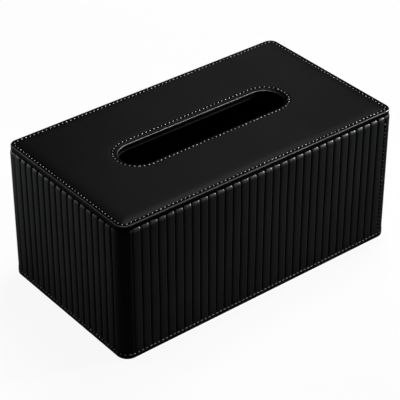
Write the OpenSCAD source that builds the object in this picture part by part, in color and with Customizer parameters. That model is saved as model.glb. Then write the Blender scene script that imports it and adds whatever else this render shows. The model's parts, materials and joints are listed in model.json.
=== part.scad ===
// Tissue box cover: a wooden box under ribbed black leather, with a padded lid plate,
// an oval slot and a base flap that magnets hold shut.
// Millimetres. The origin is the middle of the footprint, +X runs along the long side,
// +Z is up and the front is the long side at -Y.

/* [Overall] */
// Length over the rib crests
cover_l = 250; // [200:1:300]
// Width over the rib crests
cover_w = 139.5; // [115:0.5:180]
// Height from the table to the top of the lid
cover_h = 112; // [70:0.5:160]
// Plan radius of the upright corners at the rib crests
corner_r = 9; // [6:0.5:14]

/* [Side ribs] */
// Distance from one rib to the next
rib_pitch = 7.2; // [5:0.1:10]
// Depth of the valley between two ribs
rib_depth = 1.45; // [0.8:0.05:2]
// Least width of the plain strip at each corner
corner_plain = 9.7; // [9:0.1:16]
// How far the plain corner strips lie behind the rib crests
corner_inset = 0.4; // [0.1:0.05:0.8]
// Radius that rounds the ribs over at their tops
rib_top_r = 2.6; // [1.6:0.1:4]
// Height at which the ribs start above the hem
rib_start = 4.3; // [4.2:0.1:8]

/* [Wall layers] */
// Thickness of the leather
leather_t = 0.9; // [0.6:0.05:1.2]
// Foam left behind the valleys of the ribs
padding_t = 0.9; // [0.5:0.1:2]
// Thickness of the four wall boards
board_t = 3; // [2:0.1:5]
// Thickness of the cloth lining
lining_t = 0.6; // [0.3:0.05:1]
// Room between a soft layer and the one below it
soft_gap = 0.1; // [0.05:0.01:0.2]

/* [Lid] */
// How far the lid plate stands back from the rib crests
lid_inset = 1.3; // [1:0.1:3]
// Plan radius of the lid plate's corners
lid_corner_r = 7; // [6:0.1:12]
// Radius of the lid plate's upper edge
lid_top_r = 2; // [1.2:0.1:2]
// Radius of the lid plate's lower edge
lid_bottom_r = 1.2; // [1:0.1:1.6]
// Thickness of the lid board
lid_board_t = 2; // [2:0.1:5]
// Thickness of the foam on the lid board
lid_foam_t = 0.9; // [0.5:0.1:3]
// Width of the leather that is turned under the lid board
lid_turn = 12; // [9:0.5:20]

/* [Slot] */
// Length of the slot
slot_l = 146; // [100:1:170]
// Width of the slot
slot_w = 29; // [20:0.5:50]
// Leather between the slot and its row of stitches
slot_margin = 3.6; // [2.6:0.1:6]
// Thickness of the band that lines the slot
slot_band_t = 0.9; // [0.6:0.05:1.2]
// Width of the band's flange under the lid board
slot_flange = 4; // [2:0.5:8]

/* [Stitching] */
// Distance from one stitch to the next
stitch_pitch = 3.5; // [2.5:0.1:5]
// Length of thread that shows between two holes
stitch_l = 2.5; // [1.5:0.1:3.5]
// Radius of the thread
thread_r = 0.3; // [0.2:0.01:0.35]
// Distance from the lid's edge to its row of stitches
lid_stitch_in = 2.5; // [2.2:0.1:5]
// Height of the hem's row of stitches above the table
hem_stitch_z = 3.5; // [2:0.1:5]

/* [Base flap] */
// Thickness of the flap board
flap_board_t = 2.5; // [2.3:0.1:4]
// Gap between the flap and the walls
flap_gap = 1; // [0.5:0.1:2]
// Height of the flap's leather above the table
flap_lift = 0.9; // [0.9:0.05:1.5]
// Width of the leather turned over the flap's edges
flap_turn = 9; // [7:0.5:14]
// Thickness of the hinge strip and the pull tab
strip_t = 0.7; // [0.5:0.05:0.8]
// Height of the hinge strip up the back board, and its width under the flap
hinge_leaf = 14; // [8:0.5:20]
// Gap between the hinge line and the flap
hinge_gap = 1.5; // [1.2:0.1:3]
// Width of the pull tab
tab_w = 18; // [10:0.5:30]
// Length of the pull tab
tab_l = 20; // [12:0.5:30]
// Depth and height of the ledge that the flap shuts against
ledge_s = 8; // [8:0.5:14]

/* [Magnets] */
// Diameter of a magnet
magnet_d = 5; // [3:0.5:5]
// Thickness of a magnet
magnet_t = 2; // [1:0.1:2]
// Distance of each pair of magnets from the ends of the flap
magnet_end = 37; // [10:1:60]

/* [Hidden] */
$fn = 64;

leather_color = [0.10, 0.10, 0.11];
lining_color = [0.22, 0.22, 0.24];
board_color = [0.62, 0.50, 0.36];
foam_color = [0.78, 0.78, 0.74];
thread_color = [0.52, 0.52, 0.50];
magnet_color = [0.75, 0.76, 0.78];

// Reach of a cut past the face that it opens
overrun = 1;
// Room between a thread and the groove that it lies in
thread_seat = 0.08;
// Width and depth of the groove under a row of stitches
groove_w = 4 * thread_r;
groove_depth = 0.6;
// How far the hem lies behind the rib crests
hem_inset = 0.1;
// How far the block that rounds the wrap's top stands off the rib crests
crest_room = 0.1;
// Distance from a stitch's axis to its flats
thread_flat = thread_r * cos(30);
// Height of the upper end of the seam under the rounded top
seam_top_gap = 4;
// Room over a magnet in its pocket and around it
magnet_gap = 0.05;
// Board left in front of a magnet
magnet_wall = 0.5;
// Gap between the shut flap and the ledge
ledge_gap = 0.2;
// Clear space left in front of the tab, back from the flap's front edge
tab_back = 2;

// Heights
lid_t = 2 * leather_t + lid_board_t + lid_foam_t;
wrap_h = cover_h - lid_t;
board_z = leather_t;
board_h = wrap_h - 2 * leather_t;
lid_board_z = wrap_h + leather_t;
lid_foam_z = lid_board_z + lid_board_t;
// Depths behind the rib crests
corner_back = corner_inset + leather_t;
post_face = corner_back + soft_gap;
groove_back = rib_depth + leather_t;
wall_face = groove_back + soft_gap + padding_t;
wall_back = wall_face + board_t;
lining_back = wall_back + lining_t;
// Ribs that fit between the corner strips, and the width that they take
long_ribs = floor((cover_l - 2 * corner_plain) / rib_pitch);
short_ribs = floor((cover_w - 2 * corner_plain) / rib_pitch);
long_span = long_ribs * rib_pitch;
short_span = short_ribs * rib_pitch;
rib_r = (pow(rib_pitch / 2, 2) + pow(rib_depth, 2)) / (2 * rib_depth);
// The flap
flap_z = flap_lift;
flap_board_z = flap_z + leather_t;
flap_top = flap_board_z + flap_board_t + leather_t;
hinge_y = cover_w / 2 - wall_back - strip_t / 2;
hinge_z = flap_z - strip_t / 2;
flap_back_y = hinge_y - hinge_gap;
flap_front_y = -cover_w / 2 + wall_back + flap_gap;
flap_w = flap_back_y - flap_front_y;
flap_y = (flap_back_y + flap_front_y) / 2;
flap_l = cover_l - 2 * lining_back - 2 * flap_gap;
ledge_z = flap_top + ledge_gap;
ledge_y = -cover_w / 2 + wall_back + ledge_s / 2;
magnet_x = flap_l / 2 - magnet_end;
magnet_y = flap_front_y + leather_t + magnet_wall + magnet_d / 2;

// Flat outlines

module rounded_rect(l, w, r) {
    square([l - 2 * r, w], center = true);
    square([l, w - 2 * r], center = true);
    for (x = [-1, 1], y = [-1, 1])
        translate([x * (l / 2 - r), y * (w / 2 - r)]) circle(r);
}

module stadium(l, w) {
    square([l - w, w], center = true);
    for (x = [-1, 1]) translate([x * (l - w) / 2, 0]) circle(w / 2);
}

// The cover's plan with its corners and its rib fields cut back to their own depths
module stepped_plan(corner_d, side_d) {
    difference() {
        rounded_rect(cover_l - 2 * corner_d, cover_w - 2 * corner_d, corner_r - corner_d);
        for (s = [-1, 1]) {
            translate([0, s * (cover_w / 2 - side_d / 2)]) square([long_span, side_d], center = true);
            translate([s * (cover_l / 2 - side_d / 2), 0]) square([side_d, short_span], center = true);
        }
    }
}

// One row of rib crests along X, with the crests at y = 0 and the ribs below it
module rib_row(count, cut) {
    for (i = [0 : count - 1])
        translate([(i - (count - 1) / 2) * rib_pitch, -rib_r]) circle(rib_r - cut);
}

// The ribbed plan, cut back by a layer's thickness
module ribbed_plan(cut) {
    stepped_plan(corner_inset + cut, rib_depth + cut);
    for (s = [0, 180]) rotate(s) {
        translate([0, cover_w / 2]) rib_row(long_ribs, cut);
        rotate(90) translate([0, cover_l / 2]) rib_row(short_ribs, cut);
    }
}

// Solids with rounded edges, put together from pieces that meet on flat faces

// The upright section of a rounded edge: from x = 0 out to x = r, with its outer corners rounded
module edge_section(r, h, top_r, bottom_r) {
    translate([0, bottom_r]) square([r, h - top_r - bottom_r]);
    translate([0, h - top_r]) square([r - top_r, top_r]);
    square([r - bottom_r, bottom_r]);
    translate([r - top_r, h - top_r]) circle(top_r);
    translate([r - bottom_r, bottom_r]) circle(bottom_r);
}

// A plate with rounded corners and its upper and lower edges rounded
module soft_block(l, w, r, h, top_r, bottom_r) {
    linear_extrude(h) square([l - 2 * r, w - 2 * r], center = true);
    for (s = [0, 180]) rotate(s) {
        translate([l / 2 - r, w / 2 - r, 0]) rotate([90, 0, 0])
            linear_extrude(w - 2 * r) edge_section(r, h, top_r, bottom_r);
        rotate(90) translate([w / 2 - r, l / 2 - r, 0]) rotate([90, 0, 0])
            linear_extrude(l - 2 * r) edge_section(r, h, top_r, bottom_r);
        translate([l / 2 - r, w / 2 - r, 0])
            rotate_extrude(angle = 90) edge_section(r, h, top_r, bottom_r);
        translate([r - l / 2, w / 2 - r, 0]) rotate(90)
            rotate_extrude(angle = 90) edge_section(r, h, top_r, bottom_r);
    }
}

// A flat ring along a rounded rectangle, used to cut the groove under a row of stitches
module groove_ring(l, w, r, width, h) {
    linear_extrude(h) difference() {
        rounded_rect(l + width, w + width, r + width / 2);
        rounded_rect(l - width, w - width, r - width / 2);
    }
}

// A round bar bent round a stadium whose centre line is l by w
module stadium_bead(l, w, bar_r) {
    for (s = [-1, 1]) {
        translate([0, s * w / 2, 0]) rotate([0, 90, 0])
            cylinder(h = l - w, r = bar_r, center = true);
        translate([s * (l - w) / 2, 0, 0])
            rotate_extrude() translate([w / 2, 0]) circle(bar_r);
    }
}

// Stitches

// Point and heading at the distance s along a rounded rectangle, from the start of its front side
function loop_at(s, l, w, r) =
    let (a = l - 2 * r, b = w - 2 * r, q = PI * r / 2)
    s < a ? [[s - a / 2, -w / 2], 0] :
    s < a + q ? arc_at([a / 2, -b / 2], r, (s - a) / r, -90) :
    s < a + q + b ? [[l / 2, s - a - q - b / 2], 90] :
    s < a + 2 * q + b ? arc_at([a / 2, b / 2], r, (s - a - q - b) / r, 0) :
    let (back = loop_at(s - a - 2 * q - b, l, w, r)) [-back[0], back[1] + 180];

function arc_at(centre, r, turn, from) =
    let (angle = from + turn * 180 / PI)
    [centre + r * [cos(angle), sin(angle)], angle + 90];

function loop_length(l, w, r) = 2 * (l + w - 4 * r) + 2 * PI * r;

// One stitch along X, with a flat below it and a flat above it
module stitch() {
    rotate([0, 90, 0]) rotate(30) cylinder(h = stitch_l, r = thread_r, center = true, $fn = 6);
}

// Stitches along a rounded rectangle; lean turns them onto an upright face
module stitch_loop(l, w, r, lean = 0) {
    count = round(loop_length(l, w, r) / stitch_pitch);
    for (i = [0 : count - 1]) {
        at = loop_at(i * loop_length(l, w, r) / count, l, w, r);
        translate(at[0]) rotate(at[1]) rotate([lean, 0, 0]) stitch();
    }
}

// The leather round the sides

// The grooves' depth, and how far a stitch's axis lies under the leather's face
groove_sink = groove_depth - thread_flat - thread_seat;
hem_line_in = hem_inset + groove_sink;
seam_x = cover_l / 2 - corner_r;
seam_y = corner_inset - cover_w / 2;
seam_bottom = rib_start + stitch_l;
seam_count = floor((wrap_h - seam_top_gap - seam_bottom) / stitch_pitch);

module side_wrap() {
    color(leather_color) difference() {
        union() {
            intersection() {
                translate([0, 0, rib_start]) linear_extrude(wrap_h) ribbed_plan(0);
                soft_block(cover_l + 2 * crest_room, cover_w + 2 * crest_room, corner_r + crest_room,
                    wrap_h, rib_top_r + crest_room, crest_room);
            }
            linear_extrude(rib_start)
                rounded_rect(cover_l - 2 * hem_inset, cover_w - 2 * hem_inset, corner_r - hem_inset);
        }
        translate([0, 0, rib_start + leather_t])
            linear_extrude(wrap_h - rib_top_r - rib_start - leather_t) ribbed_plan(leather_t);
        translate([0, 0, board_z]) linear_extrude(board_h) stepped_plan(corner_back, wall_face);
        translate([0, 0, wrap_h / 2])
            cube([cover_l - 2 * wall_back, cover_w - 2 * wall_back, wrap_h + 2 * overrun], center = true);
        translate([0, 0, hem_stitch_z - groove_w / 2])
            groove_ring(cover_l - 2 * hem_inset, cover_w - 2 * hem_inset, corner_r - hem_inset,
                2 * groove_depth, groove_w);
        translate([seam_x - groove_w / 2, seam_y - groove_depth, seam_bottom - stitch_l])
            cube([groove_w, 2 * groove_depth, wrap_h - seam_top_gap - seam_bottom + 2 * stitch_l]);
    }
}

module seam_stitching() {
    color(thread_color) for (i = [0 : seam_count])
        translate([seam_x, seam_y + groove_sink, seam_bottom + i * stitch_pitch])
            rotate([0, 0, 90]) rotate([0, 90, 0]) stitch();
}

module hem_stitching() {
    color(thread_color) translate([0, 0, hem_stitch_z])
        stitch_loop(cover_l - 2 * hem_line_in, cover_w - 2 * hem_line_in, corner_r - hem_line_in, 90);
}

// Foam ribs, one sheet to a side

foam_cut = leather_t + soft_gap;
foam_z = rib_start + foam_cut;

module side_padding(angle, face, span, side) {
    color(foam_color) translate([0, 0, foam_z])
        linear_extrude(wrap_h - rib_top_r - soft_gap - foam_z) intersection() {
            ribbed_plan(foam_cut);
            rotate(angle) translate([-span / 2, side / 2 - face]) square([span, face]);
        }
}

module front_padding() { side_padding(180, wall_face, long_span, cover_w); }
module back_padding() { side_padding(0, wall_face, long_span, cover_w); }
module left_padding() { side_padding(90, wall_face, short_span, cover_l); }
module right_padding() { side_padding(-90, wall_face, short_span, cover_l); }

// The wooden box

module wall_board(angle, span, side) {
    color(board_color) rotate(angle) translate([-span / 2, side / 2 - wall_back, board_z])
        cube([span, board_t, board_h]);
}

module front_board() { wall_board(180, long_span, cover_w); }
module back_board() { wall_board(0, long_span, cover_w); }
module left_board() { wall_board(90, short_span, cover_l); }
module right_board() { wall_board(-90, short_span, cover_l); }

// A corner post with a leg along each wall, for the corner at the signs sx and sy
module corner_post(sx, sy) {
    color(board_color) translate([0, 0, board_z]) linear_extrude(board_h) intersection() {
        difference() {
            rounded_rect(cover_l - 2 * post_face, cover_w - 2 * post_face, corner_r - post_face);
            square([cover_l - 2 * wall_back, cover_w - 2 * wall_back], center = true);
        }
        translate([sx * (cover_l + long_span) / 4, sy * (cover_w + short_span) / 4])
            square([(cover_l - long_span) / 2, (cover_w - short_span) / 2], center = true);
    }
}

module front_left_post() { corner_post(-1, -1); }
module front_right_post() { corner_post(1, -1); }
module back_left_post() { corner_post(-1, 1); }
module back_right_post() { corner_post(1, 1); }

// Cloth lining, one piece to a wall

module wall_lining(angle, span, side, from) {
    color(lining_color) rotate(angle) translate([-span / 2, side / 2 - lining_back, from])
        cube([span, lining_t, board_z + board_h - from]);
}

long_lining = cover_l - 2 * wall_back;
short_lining = cover_w - 2 * lining_back;

module front_lining() { wall_lining(180, long_lining, cover_w, ledge_z + ledge_s); }
module back_lining() { wall_lining(0, long_lining, cover_w, hinge_z + hinge_leaf); }
module left_lining() { wall_lining(90, short_lining, cover_l, board_z); }
module right_lining() { wall_lining(-90, short_lining, cover_l, board_z); }

// The lid plate

lid_l = cover_l - 2 * lid_inset;
lid_w = cover_w - 2 * lid_inset;
slot_stitch_l = slot_l + 2 * slot_margin;
slot_stitch_w = slot_w + 2 * slot_margin;
slot_hole_l = slot_l + 2 * slot_band_t;
slot_hole_w = slot_w + 2 * slot_band_t;
lid_top = wrap_h + lid_t;
slot_top = lid_top - lid_foam_t;

// The plan inside the lid's leather, drawn in by a gap
module lid_inside(gap) {
    cut = leather_t + gap;
    rounded_rect(lid_l - 2 * cut, lid_w - 2 * cut, lid_corner_r - cut);
}

// A straight cut in the shape of a stadium through the whole lid
module slot_cut(l, w, from) {
    translate([0, 0, from]) linear_extrude(lid_t + overrun) stadium(l, w);
}

module lid_cover() {
    color(leather_color) difference() {
        translate([0, 0, wrap_h])
            soft_block(lid_l, lid_w, lid_corner_r, lid_t, lid_top_r, lid_bottom_r);
        translate([0, 0, lid_board_z]) linear_extrude(lid_board_t) lid_inside(0);
        translate([0, 0, lid_board_z]) linear_extrude(lid_board_t + lid_foam_t) difference() {
            lid_inside(0);
            stadium(slot_stitch_l + 2 * leather_t, slot_stitch_w + 2 * leather_t);
        }
        translate([0, 0, wrap_h - overrun]) linear_extrude(leather_t + 2 * overrun)
            rounded_rect(lid_l - 2 * lid_turn, lid_w - 2 * lid_turn, lid_corner_r - leather_t);
        slot_cut(slot_stitch_l, slot_stitch_w, slot_top);
        slot_cut(slot_hole_l + 2 * soft_gap, slot_hole_w + 2 * soft_gap, wrap_h - overrun);
        translate([0, 0, lid_top - groove_depth])
            groove_ring(lid_l - 2 * lid_stitch_in, lid_w - 2 * lid_stitch_in,
                lid_corner_r - lid_stitch_in, groove_w, groove_depth + overrun);
    }
}

module lid_stitching() {
    color(thread_color) translate([0, 0, lid_top - groove_sink])
        stitch_loop(lid_l - 2 * lid_stitch_in, lid_w - 2 * lid_stitch_in, lid_corner_r - lid_stitch_in);
}

module lid_foam() {
    color(foam_color) translate([0, 0, lid_foam_z]) linear_extrude(lid_foam_t - soft_gap) difference() {
        lid_inside(soft_gap);
        stadium(slot_stitch_l + 2 * foam_cut, slot_stitch_w + 2 * foam_cut);
    }
}

module lid_board() {
    color(board_color) translate([0, 0, lid_board_z]) linear_extrude(lid_board_t) difference() {
        lid_inside(0);
        stadium(slot_hole_l + 2 * soft_gap, slot_hole_w + 2 * soft_gap);
    }
}

module lid_lining() {
    hole_l = slot_hole_l + 2 * slot_flange + 2 * soft_gap;
    hole_w = slot_hole_w + 2 * slot_flange + 2 * soft_gap;
    color(lining_color) difference() {
        translate([0, 0, lid_board_z - lining_t]) linear_extrude(lining_t)
            rounded_rect(lid_l - 2 * lid_turn, lid_w - 2 * lid_turn, lid_corner_r - leather_t);
        slot_cut(hole_l, hole_w, wrap_h);
    }
}

// The slot's band: a wall with a rolled top edge and a flange under the board
module slot_band() {
    color(leather_color) difference() {
        union() {
            translate([0, 0, wrap_h]) linear_extrude(slot_top - wrap_h) stadium(slot_hole_l, slot_hole_w);
            translate([0, 0, wrap_h]) linear_extrude(leather_t)
                stadium(slot_hole_l + 2 * slot_flange, slot_hole_w + 2 * slot_flange);
            translate([0, 0, slot_top])
                stadium_bead(slot_l + slot_band_t, slot_w + slot_band_t, slot_band_t / 2);
        }
        slot_cut(slot_l, slot_w, wrap_h - overrun);
    }
}

// The slot's stitches lie at the foot of the step that its leather makes
module slot_stitching() {
    line_l = slot_stitch_l - 2 * thread_r - 2 * thread_seat;
    line_w = slot_stitch_w - 2 * thread_r - 2 * thread_seat;
    color(thread_color) translate([0, 0, slot_top + thread_flat])
        stitch_loop(line_l, line_w, line_w / 2);
}

// The ledge inside the front board, with a magnet in each end

module magnet_pocket(x, y, z) {
    translate([x, y, z]) cylinder(h = magnet_t + overrun, d = magnet_d + 2 * magnet_gap);
}

module ledge() {
    color(board_color) difference() {
        translate([-long_lining / 2 + lining_t, ledge_y - ledge_s / 2, ledge_z])
            cube([long_lining - 2 * lining_t, ledge_s, ledge_s]);
        for (s = [-1, 1]) magnet_pocket(s * magnet_x, magnet_y, ledge_z - overrun);
    }
}

module ledge_magnet(s) {
    color(magnet_color) translate([s * magnet_x, magnet_y, ledge_z])
        cylinder(h = magnet_t, d = magnet_d);
}

module ledge_magnet_left() { ledge_magnet(-1); }
module ledge_magnet_right() { ledge_magnet(1); }

// The base flap

// The strip turns from the back board to the underside of the flap at the hinge line
module hinge_strip() {
    color(leather_color) {
        translate([-flap_l / 2, hinge_y - strip_t / 2, hinge_z])
            cube([flap_l, strip_t, hinge_leaf]);
        translate([-flap_l / 2, hinge_y - hinge_leaf, hinge_z - strip_t / 2])
            cube([flap_l, hinge_leaf, strip_t]);
        translate([0, hinge_y, hinge_z]) rotate([0, 90, 0])
            cylinder(h = flap_l, d = strip_t, center = true);
    }
}

module flap_cover() {
    color(leather_color) difference() {
        translate([0, flap_y, flap_z]) translate([0, 0, (flap_top - flap_z) / 2])
            cube([flap_l, flap_w, flap_top - flap_z], center = true);
        translate([0, flap_y, flap_board_z + flap_board_t / 2])
            cube([flap_l - 2 * leather_t, flap_w - 2 * leather_t, flap_board_t], center = true);
        translate([0, flap_y, flap_top])
            cube([flap_l - 2 * flap_turn, flap_w - 2 * flap_turn, 2 * leather_t + overrun], center = true);
    }
}

module flap_board() {
    color(board_color) difference() {
        translate([0, flap_y, flap_board_z + flap_board_t / 2])
            cube([flap_l - 2 * leather_t, flap_w - 2 * leather_t, flap_board_t], center = true);
        for (s = [-1, 1])
            magnet_pocket(s * magnet_x, magnet_y, flap_board_z + flap_board_t - magnet_t);
    }
}

module flap_lining() {
    color(lining_color) translate([0, flap_y, flap_board_z + flap_board_t + lining_t / 2])
        cube([flap_l - 2 * flap_turn, flap_w - 2 * flap_turn, lining_t], center = true);
}

module pull_tab() {
    color(lining_color) translate([-tab_w / 2, flap_front_y + tab_back, flap_z - strip_t])
        cube([tab_w, tab_l, strip_t]);
}

module flap_magnet(s) {
    color(magnet_color) translate([s * magnet_x, magnet_y, flap_board_z + flap_board_t - magnet_t])
        cylinder(h = magnet_t, d = magnet_d);
}

module flap_magnet_left() { flap_magnet(-1); }
module flap_magnet_right() { flap_magnet(1); }

side_wrap();
seam_stitching();
hem_stitching();
front_padding();
back_padding();
left_padding();
right_padding();
front_board();
back_board();
left_board();
right_board();
front_left_post();
front_right_post();
back_left_post();
back_right_post();
front_lining();
back_lining();
left_lining();
right_lining();
lid_cover();
lid_stitching();
lid_foam();
lid_board();
lid_lining();
slot_band();
slot_stitching();
ledge();
ledge_magnet_left();
ledge_magnet_right();
hinge_strip();
flap_cover();
flap_board();
flap_lining();
pull_tab();
flap_magnet_left();
flap_magnet_right();
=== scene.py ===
import json
import math

import bmesh
import bpy
import numpy as np
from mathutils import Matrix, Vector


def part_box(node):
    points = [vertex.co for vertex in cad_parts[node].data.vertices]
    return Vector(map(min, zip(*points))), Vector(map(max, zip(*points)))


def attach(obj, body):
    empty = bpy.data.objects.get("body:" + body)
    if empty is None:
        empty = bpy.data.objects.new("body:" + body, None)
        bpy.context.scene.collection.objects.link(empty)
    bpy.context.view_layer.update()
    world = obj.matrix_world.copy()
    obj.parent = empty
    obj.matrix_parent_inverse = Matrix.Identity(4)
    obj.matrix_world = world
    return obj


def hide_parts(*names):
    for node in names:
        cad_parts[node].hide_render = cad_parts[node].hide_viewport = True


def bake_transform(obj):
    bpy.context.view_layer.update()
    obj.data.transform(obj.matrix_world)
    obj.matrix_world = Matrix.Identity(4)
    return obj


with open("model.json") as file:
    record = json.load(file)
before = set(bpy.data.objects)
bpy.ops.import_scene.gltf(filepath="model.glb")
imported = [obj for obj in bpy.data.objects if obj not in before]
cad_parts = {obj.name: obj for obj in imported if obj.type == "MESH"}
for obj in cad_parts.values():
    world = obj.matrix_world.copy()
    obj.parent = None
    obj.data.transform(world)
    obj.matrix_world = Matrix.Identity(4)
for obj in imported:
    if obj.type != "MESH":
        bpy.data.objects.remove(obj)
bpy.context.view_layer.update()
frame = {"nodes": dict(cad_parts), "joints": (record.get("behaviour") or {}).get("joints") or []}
nodes = frame["nodes"]

# Camera, floor and lamps
# The camera stands left of and in front of the cover and looks down on it. The floor and the
# backdrop are one pale sheet, and large soft lamps light the cover from the right and above.

mm = 0.001
photo_turn = math.radians(-38.605)
photo_rise = math.radians(34.099)
photo_distance = 1251.5 * mm
photo_across = -2.24 * mm
photo_up = 38.39 * mm
lens_over_sensor = 4.1246

back = np.array([
    math.sin(photo_turn) * math.cos(photo_rise),
    -math.cos(photo_turn) * math.cos(photo_rise),
    math.sin(photo_rise),
])
right = np.array([math.cos(photo_turn), math.sin(photo_turn), 0])
upward = np.cross(back, right)

camera_data = bpy.data.cameras.new("camera")
camera_data.sensor_width = 36
camera_data.lens = 36 * lens_over_sensor
camera_data.clip_start = 0.05
camera_data.clip_end = 50
camera = bpy.data.objects.new("camera", camera_data)
camera.location = back * photo_distance + right * photo_across + upward * photo_up
camera.rotation_euler = (math.pi / 2 - photo_rise, 0, photo_turn)
bpy.context.scene.collection.objects.link(camera)
bpy.context.scene.camera = camera
bpy.context.scene.view_settings.view_transform = "Standard"


class Link:
    """A shader socket. Operators on it add Math nodes, and make() adds any other node."""

    def __init__(self, tree, socket=None):
        self.tree = tree
        self.socket = socket

    def make(self, kind, settings=(), values=(), out=0):
        """Adds a node: its settings first, then the values or links of its sockets. The outcome is the
        output named by out, or all of them by name where out is None."""
        node = self.tree.nodes.new(kind)
        for name, value in dict(settings).items():
            setattr(node, name, value)
        for name, value in dict(values).items():
            if isinstance(value, Link):
                self.tree.links.new(value.socket, node.inputs[name])
            else:
                node.inputs[name].default_value = value
        if out is None:
            return {socket.name: Link(self.tree, socket) for socket in node.outputs}
        return Link(self.tree, node.outputs[out] if len(node.outputs) else None)

    def math(self, operation, *terms):
        """A Math node on these terms, in this order."""
        return self.make("ShaderNodeMath", {"operation": operation}, enumerate(terms))

    def of(self, operation):
        """A Math node of one term, such as SINE."""
        return self.math(operation, self)

    def tint(self, dark, light):
        """The colour that lies this socket's value of the way from dark to light."""
        values = {0: self, 6: dark, 7: light}
        return self.make("ShaderNodeMix", {"data_type": "RGBA"}, values, out=2)

    def step(self, low, high):
        """0 below low, 1 above high, and a smooth rise between them."""
        values = {"Value": self, "From Min": low, "From Max": high}
        return self.make("ShaderNodeMapRange", {"interpolation_type": "SMOOTHSTEP"}, values)

    def noise(self, scale, detail=2.0):
        """Cloudy noise on this vector, about 0.5 in the middle."""
        return self.make("ShaderNodeTexNoise", (), {"Vector": self, "Scale": scale, "Detail": detail})

    def __add__(self, other):
        return self.math("ADD", self, other)

    def __radd__(self, other):
        return self.math("ADD", other, self)

    def __sub__(self, other):
        return self.math("SUBTRACT", self, other)

    def __rsub__(self, other):
        return self.math("SUBTRACT", other, self)

    def __mul__(self, other):
        return self.math("MULTIPLY", self, other)

    def __rmul__(self, other):
        return self.math("MULTIPLY", other, self)


def new_finish(name):
    """A new material with an empty tree, and the link that starts its nodes."""
    finish = bpy.data.materials.new(name)
    finish.use_nodes = True
    finish.node_tree.nodes.clear()
    return finish, Link(finish.node_tree)


floor_white = (0.78, 0.78, 0.77, 1)
glow_share = 0.935
glow_level = 0.975
floor_finish, start = new_finish("studio paper")
ray = start.make("ShaderNodeLightPath", out=None)
seen = (ray["Is Camera Ray"] + ray["Is Glossy Ray"] + ray["Is Transmission Ray"]) * glow_share
paper = start.make("ShaderNodeBsdfDiffuse", (), {"Color": floor_white})
glow = start.make("ShaderNodeEmission", (), {"Color": (1, 1, 1, 1), "Strength": glow_level})
mixed = start.make("ShaderNodeMixShader", (), {0: seen, 1: paper, 2: glow})
side = start.make("ShaderNodeNewGeometry", out=None)
clear = start.make("ShaderNodeBsdfTransparent")
one_sided = start.make("ShaderNodeMixShader", (), {0: side["Backfacing"], 1: mixed, 2: clear})
start.make("ShaderNodeOutputMaterial", (), {"Surface": one_sided})

floor_reach = 6.0
floor_mesh = bpy.data.meshes.new("floor")
corners = np.array([[-1, -1, 0], [1, -1, 0], [1, 1, 0], [-1, 1, 0]]) * floor_reach
floor_mesh.from_pydata(corners.tolist(), [], [[0, 1, 2, 3]])
floor_mesh.materials.append(floor_finish)
floor = bpy.data.objects.new("floor", floor_mesh)
bpy.context.scene.collection.objects.link(floor)

world = bpy.data.worlds.new("studio")
bpy.context.scene.world = world
world.use_nodes = True
world.node_tree.nodes.clear()
start = Link(world.node_tree)
room_level = 0.05
ray = start.make("ShaderNodeLightPath", out=None)
level = ray["Is Camera Ray"] * (1 - room_level) + room_level
backdrop = start.make("ShaderNodeBackground", (), {"Color": (1, 1, 1, 1), "Strength": level})
start.make("ShaderNodeOutputWorld", (), {"Surface": backdrop})


def soft_lamp(name, place, aim, size, power, spread=180):
    """A soft box at place, turned to face aim by the two arctangents of the way there. A grid in front
    of it narrows its spread, in degrees."""
    data = bpy.data.lights.new(name, "AREA")
    data.shape = "RECTANGLE"
    data.size, data.size_y = size
    data.energy = power
    data.spread = math.radians(spread)
    lamp = bpy.data.objects.new(name, data)
    facing = np.array(aim) - np.array(place)
    lamp.location = place
    lamp.rotation_euler = (
        math.atan2(math.hypot(facing[0], facing[1]), -facing[2]),
        0,
        math.atan2(-facing[0], facing[1]),
    )
    lamp.visible_camera = False
    bpy.context.scene.collection.objects.link(lamp)


soft_lamp("front right", (0.56, -0.27, 0.25), (0.17, -0.07, 0.14), (0.18, 0.14), 0.48, 30)
soft_lamp("back left", (-0.46, 0.54, 0.125), (-0.125, 0.12, 0.13), (0.18, 0.10), 0.50, 26)
soft_lamp("right above", (0.50, 0.23, 1.12), (0, 0, 0.06), (0.5, 0.5), 14)
soft_lamp("right behind", (0.715, 0.852, 0.52), (0, 0, 0.06), (0.45, 0.45), 1.6)
soft_lamp("overhead", (0, 0, 1.3), (0, 0, 0), (0.8, 0.8), 9)


# The ribbed wrap
# One strip of black imitation leather goes round the four sides. Upright ribs are sewn in over
# foam, the corners are plain, the top is turned over the boards and the foot under them.

wrap_low, wrap_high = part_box("side_wrap")
cover_length = wrap_high.x - wrap_low.x
cover_width = wrap_high.y - wrap_low.y
wrap_height = wrap_high.z
corner_radius = 9 * mm
leather_thick = 0.9 * mm
board_face = 3.3 * mm
wall_inside = 6.35 * mm

# The ribs, and how their tops and feet are shaped
ribs_on_long_side = 32
ribs_on_short_side = 16
rib_pitch = 7.2 * mm
rib_depth = 1.45 * mm
rib_flatness = 6.0
rib_spread = 0.05
rib_top_radius = 2.6 * mm
rib_top_swell = 0.7 * mm
rib_foot = 4.3 * mm
rib_lead = 0.2 * mm
rib_rise = 1.8 * mm
body_low = 14 * mm

# The grooves, and the plain strips at the corners
groove_fall = 0.55 * mm
groove_drift = 0.16 * mm
edge_drift_share = 0.25
strip_depth = 0.4 * mm
plain_blend = 1.5 * mm
into_corner = 2.0 * mm
post_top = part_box("front_left_post")[1].z
post_clear = 0.35 * mm
skin_gap = 0.05 * mm

# The hem and the foot
foot_radius = 0.3 * mm
hem_depth = 0.1 * mm
hem_row_height = 3.5 * mm
hem_groove = 0.22 * mm
hem_groove_reach = 0.45 * mm
hem_fade = 2.0 * mm
stitch_pitch = 3.5 * mm

one_place = 0.001 * mm
chance = np.random.default_rng(7)


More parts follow.
